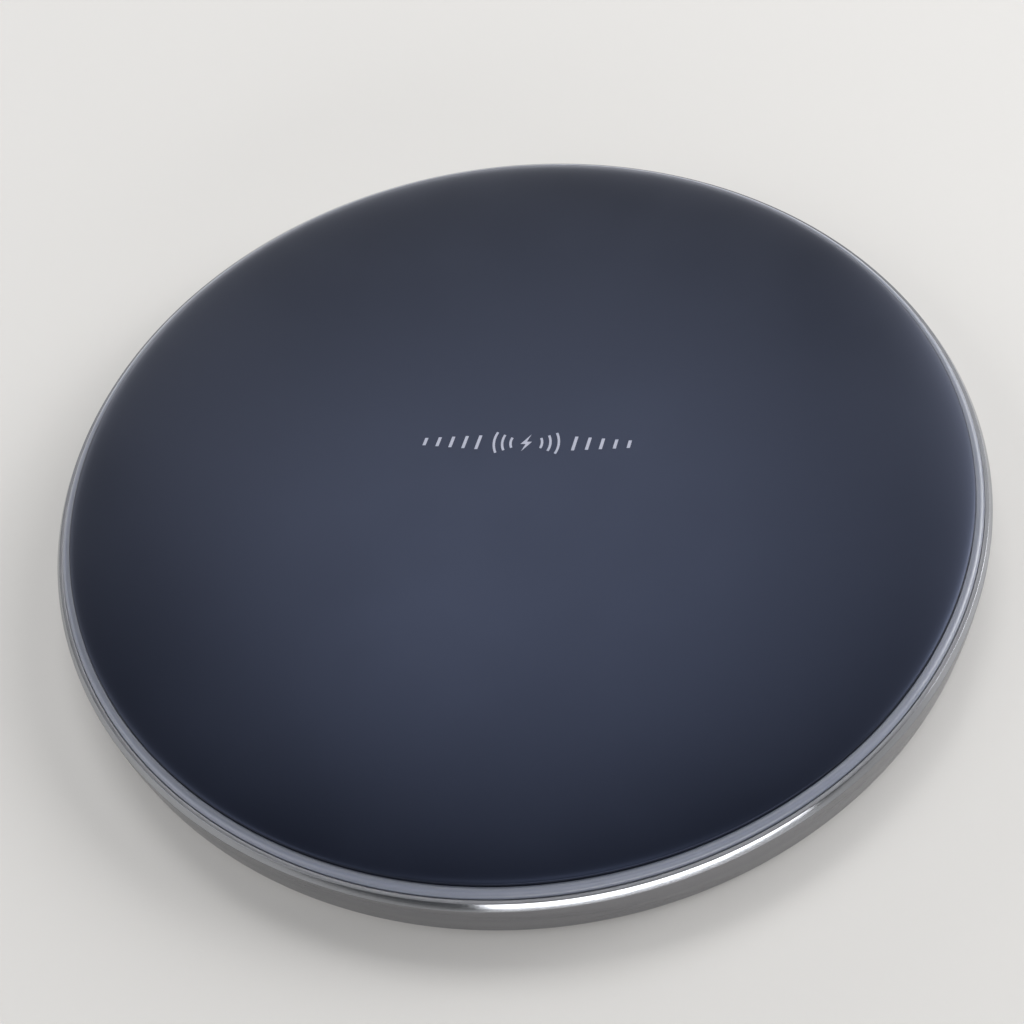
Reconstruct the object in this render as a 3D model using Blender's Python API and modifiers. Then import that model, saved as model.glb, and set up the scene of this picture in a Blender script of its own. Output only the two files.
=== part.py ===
"""Round wireless charging pad: a domed top cover and a frosted light ring in a metal bezel, closed from below
by a base with a silicone foot ring. Inside are the transmit coil on its ferrite shield, a ring-shaped circuit
board and a USB-C inlet. Metres, +Z up, origin at the centre of the foot ring's underside. The inlet faces +Y."""

import math

import bmesh
import bpy
from mathutils import Euler, Vector

MM = 0.001

# Driving dimensions
PAD_RADIUS = 50.0 * MM
PAD_HEIGHT = 8.65 * MM
BASE_Z = 0.5 * MM  # underside of the base, above the surface that the foot stands on
RING_SIDES = 64
INNER_SIDES = 48
SMALL_SIDES = 16
SEAM_MERGE = 0.001 * MM
SMOOTH_ANGLE = math.radians(35)

# Top cover: flat middle, then a superellipse down to the rim
FLAT_RADIUS = 14.0 * MM
COVER_RADIUS = 48.15 * MM
COVER_RIM_Z = 7.2 * MM
DOME_POWER = 2.2
DOME_STEPS = 9
CEILING = ((46.6 * MM, 5.9 * MM), (44.5 * MM, 6.4 * MM), (40.0 * MM, 6.95 * MM), (31.0 * MM, 7.35 * MM))
SKIRT_INNER = 46.9 * MM
SKIRT_Z = 5.45 * MM

# Light ring: an upright band with a flange that reaches inwards over the diodes
LIGHT_INNER = 48.4 * MM
LIGHT_OUTER = 49.1 * MM
LIGHT_TOP_Z = 7.0 * MM
LIGHT_SHOULDER = 0.42 * MM
FLANGE_INNER = 44.4 * MM
FLANGE_Z = (4.3 * MM, 5.2 * MM)

# Bezel
BEZEL_INNER = 49.22 * MM
BEZEL_TOP_Z = 6.3 * MM
LAND_OUTER = 49.5 * MM
CHAMFER_OUTER = 49.85 * MM
CHAMFER_LOW_Z = 5.72 * MM
EDGE_BREAK = 0.12 * MM
WALL_DRAFT = 0.16 * MM
BOTTOM_CHAMFER = 0.3 * MM
LEDGE_INNER = 47.9 * MM
LEDGE_Z = 4.2 * MM
REBATE_RADIUS = 48.65 * MM
REBATE_Z = 2.0 * MM

# Bottom cover
BASE_RADIUS = 48.45 * MM
BASE_FLANGE_Z = 1.9 * MM
FLOOR_Z = 1.5 * MM
LOCATING_SKIRT = (46.2 * MM, 47.6 * MM)
LOCATING_SKIRT_Z = 4.1 * MM
PLATFORM_RIB = (20.0 * MM, 22.0 * MM)
PLATFORM_Z = 4.2 * MM
POST_RADIUS = 1.6 * MM
POST_CIRCLE = 33.0 * MM
POST_ANGLES = (0, 90, 180, 270)
ROOT = 0.3 * MM  # how far a rib or boss reaches into the floor

# Foot ring and its groove, label and its recess
GROOVE = (38.5 * MM, 43.5 * MM)
GROOVE_Z = 1.0 * MM
FOOT_GAP = 0.2 * MM
FOOT_TOP_Z = 0.9 * MM
FOOT_EDGE = 0.25 * MM
RECESS_RADIUS = 18.3 * MM
RECESS_Z = 0.72 * MM
LABEL_RADIUS = 18.0 * MM
LABEL_TOP_Z = 0.62 * MM

# Screws and bosses
SCREW_CIRCLE = 41.0 * MM
SCREW_ANGLES = (45, 135, 225, 315)
LOWER_BOSS_RADIUS = 3.0 * MM
LOWER_BOSS_Z = 2.3 * MM
COUNTERBORE_RADIUS = 1.8 * MM
COUNTERBORE_Z = 1.75 * MM
CLEARANCE_RADIUS = 0.95 * MM
UPPER_BOSS_RADIUS = 2.2 * MM
UPPER_BOSS_Z = (2.4 * MM, 7.3 * MM)
PILOT_RADIUS = 0.9 * MM
PILOT_TOP_Z = 6.0 * MM
HEAD_RADIUS = 1.6 * MM
HEAD_Z = (1.1 * MM, 1.7 * MM)
SHANK_RADIUS = 0.75 * MM
SHANK_TOP_Z = 5.6 * MM
CROSS_SIZE = (1.7 * MM, 0.36 * MM, 0.7 * MM)

# USB-C inlet, at +Y
PORT_Z = 3.2 * MM
PORT_SLOT = (9.6 * MM, 3.6 * MM)
PORT_POCKET_WIDTH = 9.7 * MM
SHELL_SIZE = (8.94 * MM, 7.3 * MM, 3.16 * MM)
SHELL_WALL = 0.3 * MM
SHELL_MOUTH_Y = 49.3 * MM
TONGUE_BLOCK = (8.1 * MM, 2.3 * MM, 2.3 * MM)
TONGUE_SIZE = (6.69 * MM, 4.6 * MM, 0.7 * MM)

# Circuit board
BOARD = (27.5 * MM, 45.6 * MM)
BOARD_Z = (2.4 * MM, 3.2 * MM)
BOARD_HOLE = 2.6 * MM
BOARD_NOTCH_WIDTH = 9.8 * MM
SEAT = 0.05 * MM  # solder height between the board and a component

# Coil stack
TAPE_RADIUS = 23.0 * MM
TAPE_Z = (4.25 * MM, 4.7 * MM)
FERRITE_RADIUS = 25.0 * MM
FERRITE_Z = (4.75 * MM, 5.75 * MM)
SLOT_ANGLE = 60
SLOT_START = 8.0 * MM
SLOT_WIDTH = 3.4 * MM
FILM = (10.0 * MM, 22.6 * MM)
FILM_Z = (5.78 * MM, 5.88 * MM)
COIL_TURNS = 10
COIL_STEPS = 20  # points in one turn
COIL_START = 10.6 * MM
COIL_PITCH = 1.14 * MM
COIL_WIRE = 0.5 * MM
COIL_Z = 6.45 * MM
LEAD_WIRE = 0.4 * MM
SENSOR_WIRE = 0.2 * MM
WIRE_GAP = 0.3 * MM

# Components on the board: name, count, angle of the first, angle between, radius, (radial, across, high) size
COMPONENTS = (
    ("controller_ic", 1, 112, 0, 34.0 * MM, (7.0 * MM, 7.0 * MM, 0.9 * MM)),
    ("crystal", 1, 128, 0, 33.0 * MM, (3.2 * MM, 2.5 * MM, 0.8 * MM)),
    ("power_inductor", 1, 152, 0, 35.0 * MM, (5.2 * MM, 5.2 * MM, 2.8 * MM)),
    ("input_capacitor", 2, 84, -7, 36.0 * MM, (3.2 * MM, 2.5 * MM, 2.0 * MM)),
    ("bridge_mosfet", 2, 32, -12, 34.0 * MM, (5.0 * MM, 6.0 * MM, 1.1 * MM)),
    ("resonant_capacitor", 4, -2, -12, 34.0 * MM, (4.5 * MM, 3.2 * MM, 2.5 * MM)),
    ("ring_led", 6, 0, 60, 44.7 * MM, (1.4 * MM, 3.0 * MM, 0.8 * MM)),
)
COMPONENT_EDGE = 0.15 * MM

# Colours (RGB), roughness and metallic of each material
FINISHES = {
    "soft_black": ((0.022, 0.026, 0.040), 0.55, 0.0),
    "frosted_clear": ((0.42, 0.44, 0.52), 0.45, 0.0),
    "aluminium": ((0.62, 0.63, 0.65), 0.22, 1.0),
    "black_abs": ((0.020, 0.021, 0.024), 0.60, 0.0),
    "silicone": ((0.030, 0.031, 0.034), 0.80, 0.0),
    "label_film": ((0.050, 0.052, 0.056), 0.45, 0.0),
    "zinc_steel": ((0.55, 0.56, 0.58), 0.30, 1.0),
    "stainless": ((0.60, 0.60, 0.62), 0.28, 1.0),
    "contact_plastic": ((0.015, 0.015, 0.016), 0.50, 0.0),
    "foam_tape": ((0.080, 0.080, 0.085), 0.90, 0.0),
    "ferrite": ((0.050, 0.052, 0.058), 0.55, 0.0),
    "adhesive_film": ((0.60, 0.48, 0.20), 0.50, 0.0),
    "copper_litz": ((0.72, 0.36, 0.18), 0.40, 1.0),
    "lead_sleeve": ((0.55, 0.08, 0.06), 0.60, 0.0),
    "epoxy": ((0.030, 0.060, 0.110), 0.30, 0.0),
    "solder_mask": ((0.010, 0.110, 0.055), 0.40, 0.0),
    "chip_black": ((0.018, 0.018, 0.020), 0.50, 0.0),
    "ceramic_tan": ((0.45, 0.33, 0.22), 0.45, 0.0),
    "can_metal": ((0.60, 0.60, 0.62), 0.35, 1.0),
    "inductor_grey": ((0.090, 0.092, 0.100), 0.60, 0.0),
    "led_white": ((0.80, 0.80, 0.76), 0.40, 0.0),
}


def collection(name):
    made = bpy.data.collections.new(name)
    bpy.context.scene.collection.children.link(made)
    return made


def material(name):
    if name in bpy.data.materials:
        return bpy.data.materials[name]
    colour, roughness, metallic = FINISHES[name]
    made = bpy.data.materials.new(name)
    made.use_nodes = True
    shader = made.node_tree.nodes["Principled BSDF"]
    shader.inputs["Base Color"].default_value = (*colour, 1)
    shader.inputs["Roughness"].default_value = roughness
    shader.inputs["Metallic"].default_value = metallic
    return made


def add(name, mesh, finish):
    """A new object of the pad, or a tool for cutting and joining where it has no finish."""
    obj = bpy.data.objects.new(name, mesh)
    if finish is None:
        TOOLS.objects.link(obj)
        obj.hide_render = True
        obj.display_type = "WIRE"
    else:
        PARTS.objects.link(obj)
        mesh.materials.append(material(finish))
    return obj


def bake(obj):
    """Replaces the object's mesh with the one its modifiers make, shaded smooth up to its edges."""
    graph = bpy.context.evaluated_depsgraph_get()
    mesh = bpy.data.meshes.new_from_object(obj.evaluated_get(graph))
    if len(mesh.materials) == 0 and obj.data.materials:
        mesh.materials.append(obj.data.materials[0])
    old = obj.data
    obj.modifiers.clear()
    obj.data = mesh
    mesh.name = obj.name
    mesh.shade_smooth()
    mesh.set_sharp_from_angle(angle=SMOOTH_ANGLE)
    bpy.data.meshes.remove(old)
    return obj


def combine(obj, operation, tools):
    for tool in tools:
        boolean = obj.modifiers.new(tool.name, "BOOLEAN")
        boolean.operation = operation
        boolean.object = tool
    return obj


def cut(obj, *tools):
    return combine(obj, "DIFFERENCE", tools)


def join(obj, *tools):
    return combine(obj, "UNION", tools)


def turned(name, profile, finish=None, sides=RING_SIDES):
    """A solid of revolution about Z from (radius, height) points, which run down its outer side.
    The outline closes on itself unless it starts and ends on the axis."""
    mesh = bpy.data.meshes.new(name)
    edges = [(i, i + 1) for i in range(len(profile) - 1)]
    if profile[0][0] > 0:
        edges.append((len(profile) - 1, 0))
    mesh.from_pydata([(radius, 0, height) for radius, height in profile], edges, [])
    obj = add(name, mesh, finish)
    screw = obj.modifiers.new("Turn", "SCREW")
    screw.steps = screw.render_steps = sides
    screw.use_merge_vertices = True
    screw.merge_threshold = SEAM_MERGE
    return bake(obj)


def washer(name, radii, heights, finish=None, sides=RING_SIDES):
    inner, outer = radii
    low, high = heights
    return turned(name, [(inner, high), (outer, high), (outer, low), (inner, low)], finish, sides)


def disc(name, radius, heights, finish=None, sides=RING_SIDES):
    low, high = heights
    shape = bmesh.new()
    bmesh.ops.create_cone(
        shape, cap_ends=True, segments=sides, radius1=radius, radius2=radius, depth=high - low
    )
    bmesh.ops.translate(shape, vec=(0, 0, (low + high) / 2), verts=shape.verts)
    mesh = bpy.data.meshes.new(name)
    shape.to_mesh(mesh)
    shape.free()
    mesh.shade_smooth()
    mesh.set_sharp_from_angle(angle=SMOOTH_ANGLE)
    return add(name, mesh, finish)


def polar(radius, degrees, height=0.0):
    angle = math.radians(degrees)
    return Vector((radius * math.cos(angle), radius * math.sin(angle), height))


def pin(name, radius, heights, place):
    """An upright cylinder used as a tool, centred on place."""
    obj = disc(name, radius, heights, sides=SMALL_SIDES)
    obj.location = (place.x, place.y, 0)
    return obj


def block(name, size, centre, finish=None, edge=0.0, along=None):
    """A box with its edges rounded: all of them, or those that run along one axis (0, 1 or 2)."""
    shape = bmesh.new()
    bmesh.ops.create_cube(shape, size=1)
    bmesh.ops.scale(shape, vec=size, verts=shape.verts)
    if edge:
        chosen = [
            e
            for e in shape.edges
            if along is None or abs((e.verts[0].co - e.verts[1].co)[along]) > size[along] / 2
        ]
        bmesh.ops.bevel(
            shape, geom=chosen, offset=edge, segments=1 if along is None else 5, profile=0.5, affect="EDGES"
        )
    mesh = bpy.data.meshes.new(name)
    shape.to_mesh(mesh)
    shape.free()
    obj = add(name, mesh, finish)
    obj.location = centre
    return obj


def smooth_route(points, per_span):
    """Points along a Catmull-Rom curve through the route's own points."""
    ends = [2 * points[0] - points[1], *points, 2 * points[-1] - points[-2]]
    route = []
    for a, b, c, d in zip(ends, ends[1:], ends[2:], ends[3:]):
        for step in range(per_span):
            t = step / per_span
            route.append(
                0.5 * (2 * b + (c - a) * t + (2 * a - 5 * b + 4 * c - d) * t**2 + (3 * b - a - 3 * c + d) * t**3)
            )
    return [*route, points[-1]]


def wire(name, points, radius, finish):
    curve = bpy.data.curves.new(name, "CURVE")
    curve.dimensions = "3D"
    curve.bevel_depth = radius
    curve.bevel_resolution = 2
    curve.use_fill_caps = True
    spline = curve.splines.new("POLY")
    spline.points.add(len(points) - 1)
    for point, place in zip(spline.points, points):
        point.co = (*place, 1)
    curve.materials.append(material(finish))
    obj = bpy.data.objects.new(name, curve)
    PARTS.objects.link(obj)
    return obj


# Shells and rings


def dome_outline():
    """The cover's outer face from the edge of its flat middle to its rim."""
    reach = COVER_RADIUS - FLAT_RADIUS
    rise = PAD_HEIGHT - COVER_RIM_Z
    outline = []
    for step in range(DOME_STEPS + 1):
        angle = math.pi / 2 * (1 - step / DOME_STEPS)
        across = max(math.cos(angle), 0) ** (2 / DOME_POWER)
        up = max(math.sin(angle), 0) ** (2 / DOME_POWER)
        outline.append((FLAT_RADIUS + reach * across, COVER_RIM_Z + rise * up))
    return outline


def upper_bosses():
    low, high = UPPER_BOSS_Z
    bosses, pilots = [], []
    for angle in SCREW_ANGLES:
        place = polar(SCREW_CIRCLE, angle)
        bosses.append(pin(f"upper_boss_{angle}", UPPER_BOSS_RADIUS, (low, high), place))
        pilots.append(pin(f"pilot_{angle}", PILOT_RADIUS, (low - MM, PILOT_TOP_Z), place))
    return bosses, pilots


def make_top_cover():
    inside = [(SKIRT_INNER, SKIRT_Z), *CEILING, (0, CEILING[-1][1])]
    outside = [(0, PAD_HEIGHT), *dome_outline(), (COVER_RADIUS, SKIRT_Z)]
    cover = turned("top_cover", outside + inside, "soft_black")
    bosses, pilots = upper_bosses()
    join(cover, *bosses)
    cut(cover, *pilots)
    return bake(cover)


def port_slot(name, width, height, depth_from, depth_to):
    """A round-ended slot along Y, centred on the inlet."""
    size = (width, depth_to - depth_from, height)
    centre = (0, (depth_from + depth_to) / 2, PORT_Z)
    return block(name, size, centre, edge=height / 2 - 0.05 * MM, along=1)


def make_light_ring():
    low, high = FLANGE_Z
    outline = [
        (LIGHT_INNER, LIGHT_TOP_Z),
        (LIGHT_OUTER - LIGHT_SHOULDER, LIGHT_TOP_Z - 0.05 * MM),
        (LIGHT_OUTER - LIGHT_SHOULDER / 3, LIGHT_TOP_Z - 0.17 * MM),
        (LIGHT_OUTER, LIGHT_TOP_Z - LIGHT_SHOULDER),
        (LIGHT_OUTER, low),
        (FLANGE_INNER, low),
        (FLANGE_INNER, high),
        (LIGHT_INNER, high),
    ]
    ring = turned("light_guide_ring", outline, "frosted_clear")
    gap_width = PORT_POCKET_WIDTH + MM
    notch = block(
        "light_ring_notch",
        (gap_width, 8 * MM, high - low + 0.6 * MM),
        (0, FLANGE_INNER + 2 * MM, (low + high) / 2 - 0.1 * MM),
    )
    cut(ring, notch)
    return bake(ring)


def make_bezel():
    outline = [
        (BEZEL_INNER, BEZEL_TOP_Z),
        (LAND_OUTER, BEZEL_TOP_Z),
        (CHAMFER_OUTER, CHAMFER_LOW_Z),
        (PAD_RADIUS - EDGE_BREAK, CHAMFER_LOW_Z - EDGE_BREAK / 4),
        (PAD_RADIUS, CHAMFER_LOW_Z - EDGE_BREAK),
        (PAD_RADIUS, PORT_Z),
        (PAD_RADIUS - WALL_DRAFT, BASE_Z + BOTTOM_CHAMFER),
        (PAD_RADIUS - WALL_DRAFT - BOTTOM_CHAMFER, BASE_Z),
        (REBATE_RADIUS, BASE_Z),
        (REBATE_RADIUS, REBATE_Z),
        (LEDGE_INNER, REBATE_Z),
        (LEDGE_INNER, LEDGE_Z),
        (BEZEL_INNER, LEDGE_Z),
    ]
    bezel = turned("bezel_ring", outline, "aluminium")
    cut(bezel, port_slot("bezel_slot", *PORT_SLOT, LEDGE_INNER - 3 * MM, PAD_RADIUS + MM))
    return bake(bezel)


def lower_bosses():
    bosses, holes = [], []
    for angle in SCREW_ANGLES:
        place = polar(SCREW_CIRCLE, angle)
        bosses.append(pin(f"lower_boss_{angle}", LOWER_BOSS_RADIUS, (FLOOR_Z - ROOT, LOWER_BOSS_Z), place))
        holes.append(pin(f"counterbore_{angle}", COUNTERBORE_RADIUS, (0, COUNTERBORE_Z), place))
        holes.append(pin(f"clearance_{angle}", CLEARANCE_RADIUS, (MM, LOWER_BOSS_Z + MM), place))
    return bosses, holes


def make_bottom_cover():
    skirt_inner, skirt_outer = LOCATING_SKIRT
    groove_inner, groove_outer = GROOVE
    outline = [
        (0, FLOOR_Z),
        (skirt_inner, FLOOR_Z),
        (skirt_inner, LOCATING_SKIRT_Z),
        (skirt_outer, LOCATING_SKIRT_Z),
        (skirt_outer, BASE_FLANGE_Z),
        (BASE_RADIUS, BASE_FLANGE_Z),
        (BASE_RADIUS, BASE_Z),
        (groove_outer, BASE_Z),
        (groove_outer, GROOVE_Z),
        (groove_inner, GROOVE_Z),
        (groove_inner, BASE_Z),
        (RECESS_RADIUS, BASE_Z),
        (RECESS_RADIUS, RECESS_Z),
        (0, RECESS_Z),
    ]
    base = turned("bottom_cover", outline, "black_abs")
    rib = washer("platform_rib", PLATFORM_RIB, (FLOOR_Z - ROOT, PLATFORM_Z), sides=INNER_SIDES)
    posts = [
        pin(f"board_post_{angle}", POST_RADIUS, (FLOOR_Z - ROOT, LOWER_BOSS_Z), polar(POST_CIRCLE, angle))
        for angle in POST_ANGLES
    ]
    bosses, holes = lower_bosses()
    pocket_low = PORT_Z - PORT_SLOT[1] / 2
    pocket_high = LOCATING_SKIRT_Z + MM
    pocket = block(
        "port_pocket",
        (PORT_POCKET_WIDTH, 9 * MM, pocket_high - pocket_low),
        (0, SHELL_MOUTH_Y - 3.3 * MM, (pocket_low + pocket_high) / 2),
    )
    join(base, rib, *posts, *bosses)
    cut(base, *holes, pocket)
    return bake(base)


def make_foot_and_label():
    inner, outer = GROOVE[0] + FOOT_GAP, GROOVE[1] - FOOT_GAP
    outline = [
        (inner, FOOT_TOP_Z),
        (outer, FOOT_TOP_Z),
        (outer, FOOT_EDGE),
        (outer - FOOT_EDGE, 0),
        (inner + FOOT_EDGE, 0),
        (inner, FOOT_EDGE),
    ]
    turned("foot_ring", outline, "silicone")
    disc("rating_label", LABEL_RADIUS, (BASE_Z, LABEL_TOP_Z), "label_film")


def make_screws():
    low, high = HEAD_Z
    outline = [
        (0, SHANK_TOP_Z),
        (0.4 * MM, SHANK_TOP_Z),
        (SHANK_RADIUS, SHANK_TOP_Z - 0.4 * MM),
        (SHANK_RADIUS, high),
        (HEAD_RADIUS, high),
        (HEAD_RADIUS, low + 0.15 * MM),
        (HEAD_RADIUS - 0.25 * MM, low),
        (0, low),
    ]
    first = turned("base_screw_1", outline, "zinc_steel", SMALL_SIDES)
    long, thin, deep = CROSS_SIZE
    cut(
        first,
        block("cross_slot_x", (long, thin, deep), (0, 0, low)),
        block("cross_slot_y", (thin, long, deep), (0, 0, low)),
    )
    bake(first)
    for number, angle in enumerate(SCREW_ANGLES, 1):
        screw = first
        if number > 1:
            screw = bpy.data.objects.new(f"base_screw_{number}", first.data)
            PARTS.objects.link(screw)
        screw.location = polar(SCREW_CIRCLE, angle)
        screw.rotation_euler = Euler((0, 0, math.radians(angle)))


# Inlet


def make_inlet():
    width, depth, height = SHELL_SIZE
    centre = Vector((0, SHELL_MOUTH_Y - depth / 2, PORT_Z))
    shell = block("usb_shell", SHELL_SIZE, centre, "stainless", edge=height / 2 - 0.1 * MM, along=1)
    inside = (width - 2 * SHELL_WALL, depth + MM, height - 2 * SHELL_WALL)
    cut(shell, block("shell_bore", inside, centre, edge=inside[2] / 2 - 0.1 * MM, along=1))
    bake(shell)

    back = SHELL_MOUTH_Y - depth
    base_centre = (0, back + 0.2 * MM + TONGUE_BLOCK[1] / 2, PORT_Z)
    tongue = block("usb_tongue", TONGUE_BLOCK, base_centre, "contact_plastic", edge=0.9 * MM, along=1)
    reach = back + 0.2 * MM + TONGUE_BLOCK[1] + TONGUE_SIZE[1] / 2 - 0.2 * MM
    join(tongue, block("tongue_blade", TONGUE_SIZE, (0, reach, PORT_Z), edge=0.3 * MM, along=2))
    bake(tongue)


# Electronics


def make_board():
    board = washer("main_pcb", BOARD, BOARD_Z, "solder_mask")
    low, high = BOARD_Z
    holes = [
        pin(f"board_hole_{angle}", BOARD_HOLE, (low - MM, high + MM), polar(SCREW_CIRCLE, angle))
        for angle in SCREW_ANGLES
    ]
    shell_back = SHELL_MOUTH_Y - SHELL_SIZE[1]
    notch = block(
        "board_notch",
        (BOARD_NOTCH_WIDTH, 6 * MM, 2 * MM),
        (0, shell_back - 0.4 * MM + 3 * MM, (low + high) / 2),
    )
    cut(board, *holes, notch)
    bake(board)


def component_finish(name):
    return {
        "controller_ic": "chip_black",
        "bridge_mosfet": "chip_black",
        "crystal": "can_metal",
        "power_inductor": "inductor_grey",
        "ring_led": "led_white",
    }.get(name, "ceramic_tan")


def make_components():
    for name, count, first, between, radius, size in COMPONENTS:
        for number in range(count):
            angle = first + between * number
            height = BOARD_Z[1] + SEAT + size[2] / 2
            label = name if count == 1 else f"{name}_{number + 1}"
            part = block(label, size, polar(radius, angle, height), component_finish(name), COMPONENT_EDGE)
            part.rotation_euler = Euler((0, 0, math.radians(angle)))


# Coil stack


def slot_frame():
    """Along the shield's slot, outwards, and across it."""
    along = polar(1, SLOT_ANGLE)
    return along, Vector((-along.y, along.x, 0))


def make_shield():
    disc("shield_foam_tape", TAPE_RADIUS, TAPE_Z, "foam_tape", INNER_SIDES)
    shield = disc("ferrite_shield", FERRITE_RADIUS, FERRITE_Z, "ferrite", INNER_SIDES)
    length = FERRITE_RADIUS - SLOT_START + MM
    along, _ = slot_frame()
    slot = block("shield_slot", (length, SLOT_WIDTH, 3 * MM), along * (SLOT_START + length / 2))
    slot.location.z = FERRITE_Z[0]
    slot.rotation_euler = Euler((0, 0, math.radians(SLOT_ANGLE)))
    cut(shield, slot)
    bake(shield)
    washer("coil_adhesive", FILM, FILM_Z, "adhesive_film", INNER_SIDES)


def coil_point(turns):
    return polar(COIL_START + COIL_PITCH * turns, SLOT_ANGLE + 360 * turns, COIL_Z)


def make_coil():
    steps = COIL_TURNS * COIL_STEPS
    wire("transmit_coil", [coil_point(step / COIL_STEPS) for step in range(steps + 1)], COIL_WIRE, "copper_litz")


def make_leads():
    """The inner end dips into the shield's slot and runs out under the turns. The outer end steps down over
    the shield's edge. Both stop just above the board."""
    along, across = slot_frame()
    board_top = BOARD_Z[1] + SEAT + LEAD_WIRE
    slot_z = FERRITE_Z[0] + 0.1 * MM + LEAD_WIRE

    def at(out, side, height):
        point = along * out + across * side
        return Vector((point.x, point.y, height))

    inner = [
        at(COIL_START, -WIRE_GAP, COIL_Z),
        at(COIL_START - 0.5 * MM, -1.1 * MM, COIL_Z - 0.1 * MM),
        at(COIL_START - 2.0 * MM, -1.3 * MM, COIL_Z - 0.6 * MM),
        at(COIL_START - 1.6 * MM, -1.1 * MM, slot_z + 0.15 * MM),
        at(COIL_START + 0.2 * MM, -1.1 * MM, slot_z),
        at(FERRITE_RADIUS + 0.5 * MM, -1.1 * MM, slot_z),
        at(FERRITE_RADIUS + 2.5 * MM, -1.1 * MM, slot_z - 0.5 * MM),
        at(FERRITE_RADIUS + 4.5 * MM, -1.1 * MM, board_top),
    ]
    wire("coil_lead_inner", smooth_route(inner, 4), LEAD_WIRE, "lead_sleeve")

    coil_end = COIL_START + COIL_PITCH * COIL_TURNS
    edge_z = FERRITE_Z[1] + LEAD_WIRE
    outer = [
        at(coil_end, WIRE_GAP, COIL_Z),
        at(coil_end + 0.6 * MM, 2.2 * MM, COIL_Z + 0.05 * MM),
        at(FERRITE_RADIUS - 1.0 * MM, 3.8 * MM, edge_z + 0.2 * MM),
        at(FERRITE_RADIUS + 1.2 * MM, 4.2 * MM, edge_z - 0.3 * MM),
        at(FERRITE_RADIUS + 3.0 * MM, 4.2 * MM, board_top + 0.8 * MM),
        at(FERRITE_RADIUS + 4.5 * MM, 4.2 * MM, board_top),
    ]
    wire("coil_lead_outer", smooth_route(outer, 4), LEAD_WIRE, "lead_sleeve")


def make_thermistor():
    """A bead of epoxy on the shield in the coil's eye, with two thin wires that leave by the slot."""
    bead = bmesh.new()
    bmesh.ops.create_uvsphere(bead, u_segments=SMALL_SIDES, v_segments=10, radius=1.2 * MM)
    bmesh.ops.scale(bead, vec=(1.0, 1.0, 0.5), verts=bead.verts)
    mesh = bpy.data.meshes.new("thermistor")
    bead.to_mesh(mesh)
    bead.free()
    mesh.shade_smooth()
    obj = add("thermistor", mesh, "epoxy")
    obj.location = (0, 0, FERRITE_Z[1] + 0.65 * MM)

    along, across = slot_frame()
    on_shield = FERRITE_Z[1] + 0.08 * MM + SENSOR_WIRE
    in_slot = FERRITE_Z[0] + 0.1 * MM + SENSOR_WIRE
    board_top = BOARD_Z[1] + SEAT + SENSOR_WIRE
    for number, side in enumerate((0.4 * MM, 1.2 * MM), 1):
        places = (
            (1.6 * MM, 0.5, on_shield + 0.2 * MM),
            (4.5 * MM, 1.0, on_shield),
            (SLOT_START - 0.4 * MM, 1.0, on_shield),
            (SLOT_START + 1.6 * MM, 1.0, in_slot + 0.1 * MM),
            (SLOT_START + 3.2 * MM, 1.0, in_slot),
            (FERRITE_RADIUS + 1.0 * MM, 1.0, in_slot),
            (FERRITE_RADIUS + 4.0 * MM, 1.0, board_top),
        )
        route = [along * out + across * side * share + Vector((0, 0, height)) for out, share, height in places]
        wire(f"thermistor_wire_{number}", smooth_route(route, 3), SENSOR_WIRE, "lead_sleeve")


for old in list(bpy.data.objects):
    bpy.data.objects.remove(old)
PARTS = collection("wireless_charging_pad")
TOOLS = collection("tools")

make_top_cover()
make_light_ring()
make_bezel()
make_bottom_cover()
make_foot_and_label()
make_screws()
make_inlet()
make_board()
make_components()
make_shield()
make_coil()
make_leads()
make_thermistor()
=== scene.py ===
"""Looks of the round wireless charging pad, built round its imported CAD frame.

Metres, +Z up. The pad lies on z = 0 with its USB-C inlet at +Y, and the print on its cover reads along +X.
Each outer shell is a fine lathe piece that stands for its coarser CAD node. The parts inside keep their
CAD shape and get a material each.
"""

import math

import bmesh
import bpy
from mathutils import Matrix, Vector


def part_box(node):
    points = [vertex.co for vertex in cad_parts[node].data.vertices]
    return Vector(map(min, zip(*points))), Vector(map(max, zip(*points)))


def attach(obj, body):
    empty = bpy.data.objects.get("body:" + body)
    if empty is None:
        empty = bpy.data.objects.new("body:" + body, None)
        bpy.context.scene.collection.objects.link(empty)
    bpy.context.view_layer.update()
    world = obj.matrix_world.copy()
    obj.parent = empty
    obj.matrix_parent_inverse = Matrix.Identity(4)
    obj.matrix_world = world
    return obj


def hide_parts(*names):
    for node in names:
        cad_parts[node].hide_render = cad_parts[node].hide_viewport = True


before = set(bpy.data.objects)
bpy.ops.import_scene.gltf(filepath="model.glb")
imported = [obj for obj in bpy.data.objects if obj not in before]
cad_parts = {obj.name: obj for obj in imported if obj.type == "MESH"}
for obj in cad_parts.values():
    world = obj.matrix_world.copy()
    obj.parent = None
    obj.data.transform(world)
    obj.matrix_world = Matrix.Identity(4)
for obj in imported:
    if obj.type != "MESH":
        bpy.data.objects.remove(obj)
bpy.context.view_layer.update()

MM = 0.001
TURN_STEPS = 240  # round pieces
HOLE_STEPS = 40  # bosses and screw holes
SHARP = math.radians(32)


# ---------------------------------------------------------------- sizes, from the frame's boxes

def top_of(node):
    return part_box(node)[1].z


def foot_of(node):
    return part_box(node)[0].z


def reach_of(node):
    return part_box(node)[1].x


PRINT_PROUD = 0.015 * MM  # half of the ink's thickness
COVER_RADIUS = reach_of("top_cover")
COVER_TOP = top_of("top_cover") - 2 * PRINT_PROUD
FLAT_RADIUS = 14.0 * MM
RIM_Z = 7.2 * MM
DOME_POWER = 2.2  # of the superellipse that rolls down to the rim
DOME_STEPS = 44
SKIRT_Z = 5.45 * MM
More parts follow.
